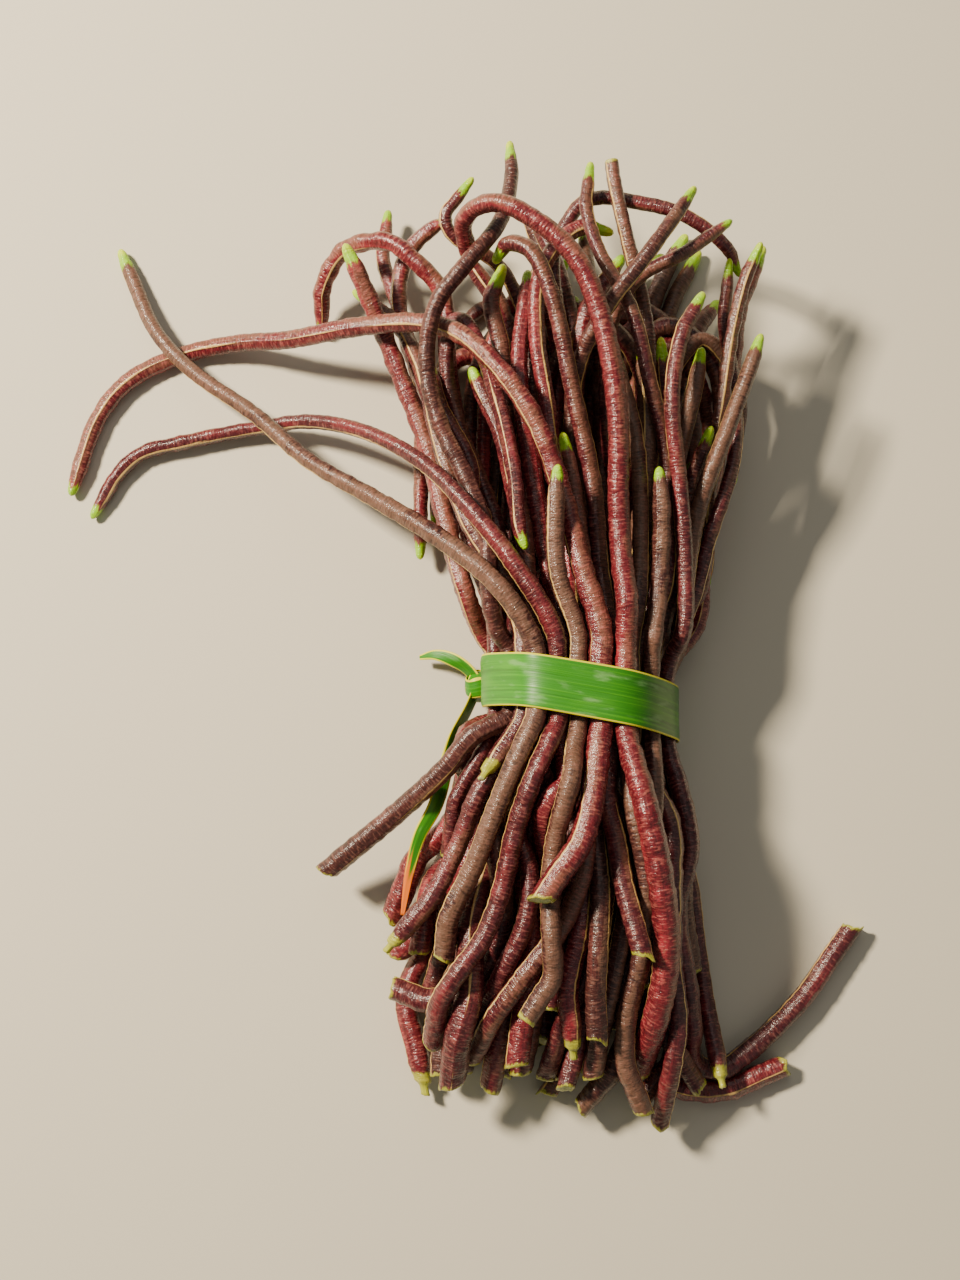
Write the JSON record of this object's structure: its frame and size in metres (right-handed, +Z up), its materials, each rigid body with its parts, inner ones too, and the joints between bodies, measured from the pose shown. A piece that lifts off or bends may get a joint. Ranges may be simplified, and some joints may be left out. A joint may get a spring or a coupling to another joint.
{
  "type": "yardlong bean bunch",
  "caption": "Bunch of long purple-red yardlong beans lying on its side, held at the waist by a knotted strip of green palm leaf, with looping blossom tips and cut stem ends.",
  "frame": {"origin": "on the surface the bunch lies on, under the middle of its bounding box", "axes": "+Y along the bunch from the cut stem ends to the blossom tips, +Z up from the surface, +X across the bunch"},
  "size_m": [0.3434, 0.412, 0.0888],
  "materials": {
    "pod_maroon": "wet semi-gloss natural pod skin, dark maroon with yellow-green ends",
    "pod_red": "wet semi-gloss natural pod skin, purple-red with yellow-green ends",
    "pod_brown": "dull natural pod skin, brown-grey bloom over maroon",
    "palm_leaf": "satin fresh leaf, parallel veins, thin yellow margins, dry orange at one loose end"
  },
  "bodies": {
    "root": {"leaf_tie": "palm_leaf", "pod_01": "pod_red", "pod_02": "pod_brown", "pod_03": "pod_maroon", "pod_04": "pod_brown", "pod_05": "pod_red", "pod_06": "pod_maroon", "pod_07": "pod_maroon", "pod_08": "pod_maroon", "pod_09": "pod_maroon", "pod_10": "pod_brown", "pod_11": "pod_maroon", "pod_12": "pod_maroon", "pod_13": "pod_brown", "pod_14": "pod_maroon", "pod_15": "pod_red", "pod_16": "pod_brown", "pod_17": "pod_brown", "pod_18": "pod_maroon", "pod_19": "pod_maroon", "pod_20": "pod_brown", "pod_21": "pod_maroon", "pod_22": "pod_maroon", "pod_23": "pod_maroon", "pod_24": "pod_red", "pod_25": "pod_red", "pod_26": "pod_red", "pod_27": "pod_maroon", "pod_28": "pod_red", "pod_29": "pod_brown", "pod_30": "pod_maroon", "pod_31": "pod_maroon", "pod_32": "pod_red", "pod_33": "pod_maroon", "pod_34": "pod_brown", "pod_35": "pod_red", "pod_36": "pod_maroon", "pod_37": "pod_brown", "pod_38": "pod_maroon", "pod_39": "pod_red", "pod_40": "pod_maroon", "pod_41": "pod_brown", "pod_42": "pod_maroon", "pod_43": "pod_red", "pod_44": "pod_maroon", "pod_45": "pod_brown", "pod_46": "pod_maroon", "pod_47": "pod_red", "pod_48": "pod_maroon", "pod_49": "pod_brown", "pod_50": "pod_maroon", "pod_51": "pod_red", "pod_52": "pod_maroon", "pod_53": "pod_brown", "pod_54": "pod_maroon", "pod_55": "pod_red", "pod_56": "pod_maroon", "pod_57": "pod_brown", "pod_58": "pod_maroon", "pod_59": "pod_red"}
  },
  "joints": []
}
